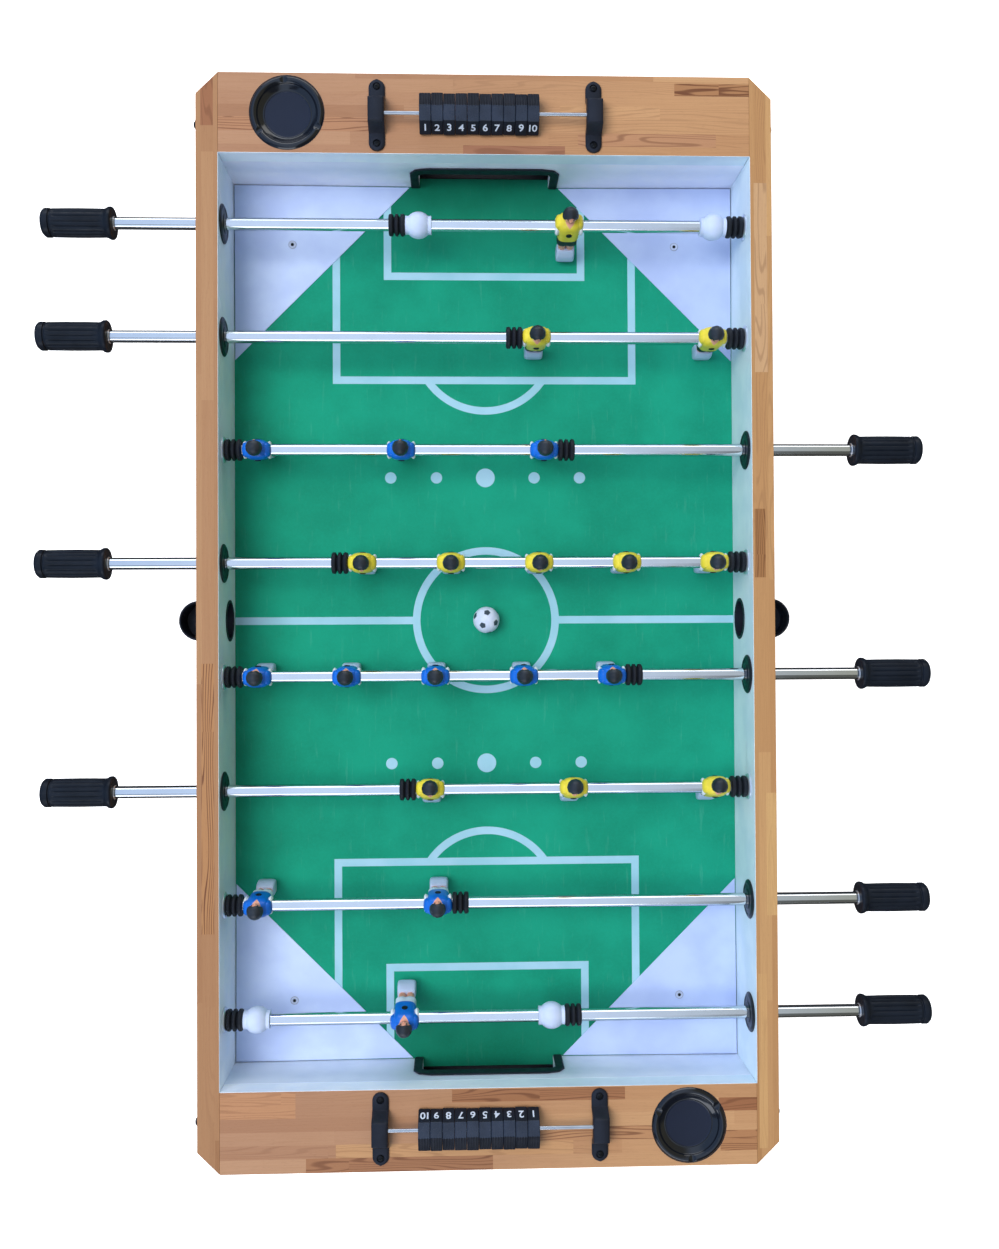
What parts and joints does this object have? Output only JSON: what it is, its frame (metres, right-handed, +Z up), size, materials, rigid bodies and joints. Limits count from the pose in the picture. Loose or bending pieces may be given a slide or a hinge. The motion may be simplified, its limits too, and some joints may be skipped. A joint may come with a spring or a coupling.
{
  "type": "tabletop foosball game",
  "caption": "Tabletop football game: wooden cabinet with green field, corner ramps and goals, sliding and turning rods of moulded players, sliding score counters and cup holders.",
  "frame": {"origin": "centre of the footprint, on the surface that the rubber feet stand on", "axes": "+Z up, +Y along the playing field towards the end whose goal the yellow team defends, +X along the rods towards the blue team's handles"},
  "size_m": [1.17, 1.409, 0.2451],
  "materials": {
    "rail_wood": "oiled pine block laminate, grain along the rail",
    "end_wood": "oiled pine block laminate, grain across the end",
    "wall_paint": "pale blue-grey satin paint on board",
    "field_board": "smooth green playing board with printed lines",
    "batten_wood": "sawn softwood",
    "ramp_paint": "pale lilac-white satin paint on board",
    "zinc_screws": "zinc plated",
    "black_plastic": "satin black moulding",
    "gloss_black_plastic": "polished black moulding",
    "bearing_plastic": "satin black nylon",
    "chrome_ring": "bright chrome",
    "inner_rod_steel": "ground steel",
    "rod_chrome": "bright chrome plated steel",
    "counter_plastic": "black moulding with white numerals",
    "counter_rod_steel": "bright steel wire",
    "foot_rubber": "black rubber",
    "black_bolt": "black coated steel",
    "ball_plastic": "white with black patches",
    "bumper_rubber": "black rubber",
    "handle_plastic": "black fluted grip",
    "collar_plastic": "white moulding",
    "yellow_players": "moulded figure, yellow shirt and black shorts",
    "blue_players": "moulded figure, blue shirt and white shorts"
  },
  "bodies": {
    "cabinet": {"anchor_rings": "chrome_ring", "ball_returns": "black_plastic", "bracket_screws": "zinc_screws", "corner_bolts": "black_bolt", "corner_ramps": "ramp_paint", "cup_holders": "gloss_black_plastic", "end_aprons": "end_wood", "end_tops": "end_wood", "feet": "foot_rubber", "field_battens": "batten_wood", "goal_frames": "black_plastic", "goal_walls": "wall_paint", "inner_rods": "inner_rod_steel", "playfield": "field_board", "ramp_screws": "zinc_screws", "rod_bearings": "bearing_plastic", "score_brackets": "counter_plastic", "score_rods": "counter_rod_steel", "serve_scoops": "black_plastic", "side_rail_left": "rail_wood", "side_rail_right": "rail_wood"},
    "carriage_1": {"bumpers_1": "bumper_rubber"},
    "rod_1": {"tube_1": "rod_chrome", "handle_1": "handle_plastic", "players_1": "yellow_players", "collars_1": "collar_plastic"},
    "carriage_2": {"bumpers_2": "bumper_rubber"},
    "rod_2": {"tube_2": "rod_chrome", "handle_2": "handle_plastic", "players_2": "yellow_players"},
    "carriage_3": {"bumpers_3": "bumper_rubber"},
    "rod_3": {"tube_3": "rod_chrome", "handle_3": "handle_plastic", "players_3": "blue_players"},
    "carriage_4": {"bumpers_4": "bumper_rubber"},
    "rod_4": {"tube_4": "rod_chrome", "handle_4": "handle_plastic", "players_4": "yellow_players"},
    "carriage_5": {"bumpers_5": "bumper_rubber"},
    "rod_5": {"tube_5": "rod_chrome", "handle_5": "handle_plastic", "players_5": "blue_players"},
    "carriage_6": {"bumpers_6": "bumper_rubber"},
    "rod_6": {"tube_6": "rod_chrome", "handle_6": "handle_plastic", "players_6": "yellow_players"},
    "carriage_7": {"bumpers_7": "bumper_rubber"},
    "rod_7": {"tube_7": "rod_chrome", "handle_7": "handle_plastic", "players_7": "blue_players"},
    "carriage_8": {"bumpers_8": "bumper_rubber"},
    "rod_8": {"tube_8": "rod_chrome", "handle_8": "handle_plastic", "players_8": "blue_players", "collars_8": "collar_plastic"},
    "counters_far_left": {"counters_far_left": "counter_plastic"},
    "counters_far_right": {"counters_far_right": "counter_plastic"},
    "counters_near_left": {"counters_near_left": "counter_plastic"},
    "counters_near_right": {"counters_near_right": "counter_plastic"},
    "ball": {"ball": "ball_plastic"}
  },
  "joints": [
    {"name": "slide_1", "type": "slide", "parent": "cabinet", "child": "carriage_1", "axis": [-1, 0, 0], "range_m": [0, 0.2125]},
    {"name": "spin_1", "type": "hinge", "parent": "carriage_1", "child": "rod_1", "pos_m": [0, 0.51905, 0.182], "axis": [1, 0, 0], "continuous": true},
    {"name": "slide_2", "type": "slide", "parent": "cabinet", "child": "carriage_2", "axis": [-1, 0, 0], "range_m": [0, 0.366]},
    {"name": "spin_2", "type": "hinge", "parent": "carriage_2", "child": "rod_2", "pos_m": [0, 0.37075, 0.182], "axis": [1, 0, 0], "continuous": true},
    {"name": "slide_3", "type": "slide", "parent": "cabinet", "child": "carriage_3", "axis": [1, 0, 0], "range_m": [0, 0.224]},
    {"name": "spin_3", "type": "hinge", "parent": "carriage_3", "child": "rod_3", "pos_m": [0, 0.22245, 0.182], "axis": [1, 0, 0], "continuous": true},
    {"name": "slide_4", "type": "slide", "parent": "cabinet", "child": "carriage_4", "axis": [-1, 0, 0], "range_m": [0, 0.1366]},
    {"name": "spin_4", "type": "hinge", "parent": "carriage_4", "child": "rod_4", "pos_m": [0, 0.07415, 0.182], "axis": [1, 0, 0], "continuous": true},
    {"name": "slide_5", "type": "slide", "parent": "cabinet", "child": "carriage_5", "axis": [1, 0, 0], "range_m": [0, 0.1366]},
    {"name": "spin_5", "type": "hinge", "parent": "carriage_5", "child": "rod_5", "pos_m": [0, -0.07415, 0.182], "axis": [1, 0, 0], "continuous": true},
    {"name": "slide_6", "type": "slide", "parent": "cabinet", "child": "carriage_6", "axis": [-1, 0, 0], "range_m": [0, 0.224]},
    {"name": "spin_6", "type": "hinge", "parent": "carriage_6", "child": "rod_6", "pos_m": [0, -0.22245, 0.182], "axis": [1, 0, 0], "continuous": true},
    {"name": "slide_7", "type": "slide", "parent": "cabinet", "child": "carriage_7", "axis": [1, 0, 0], "range_m": [0, 0.366]},
    {"name": "spin_7", "type": "hinge", "parent": "carriage_7", "child": "rod_7", "pos_m": [0, -0.37075, 0.182], "axis": [1, 0, 0], "continuous": true},
    {"name": "slide_8", "type": "slide", "parent": "cabinet", "child": "carriage_8", "axis": [1, 0, 0], "range_m": [0, 0.2193]},
    {"name": "spin_8", "type": "hinge", "parent": "carriage_8", "child": "rod_8", "pos_m": [0, -0.51905, 0.182], "axis": [1, 0, 0], "continuous": true},
    {"name": "slide_counters_far_left", "type": "slide", "parent": "cabinet", "child": "counters_far_left", "axis": [1, 0, 0], "range_m": [-0.0443, 0]},
    {"name": "slide_counters_far_right", "type": "slide", "parent": "cabinet", "child": "counters_far_right", "axis": [1, 0, 0], "range_m": [0, 0.0608]},
    {"name": "slide_counters_near_left", "type": "slide", "parent": "cabinet", "child": "counters_near_left", "axis": [1, 0, 0], "range_m": [-0.0376, 0]},
    {"name": "slide_counters_near_right", "type": "slide", "parent": "cabinet", "child": "counters_near_right", "axis": [1, 0, 0], "range_m": [0, 0.0675]},
    {"name": "ball_roll", "type": "slide", "parent": "cabinet", "child": "ball", "axis": [1, 0, 0], "range_m": [-0.324, 0.324]}
  ]
}
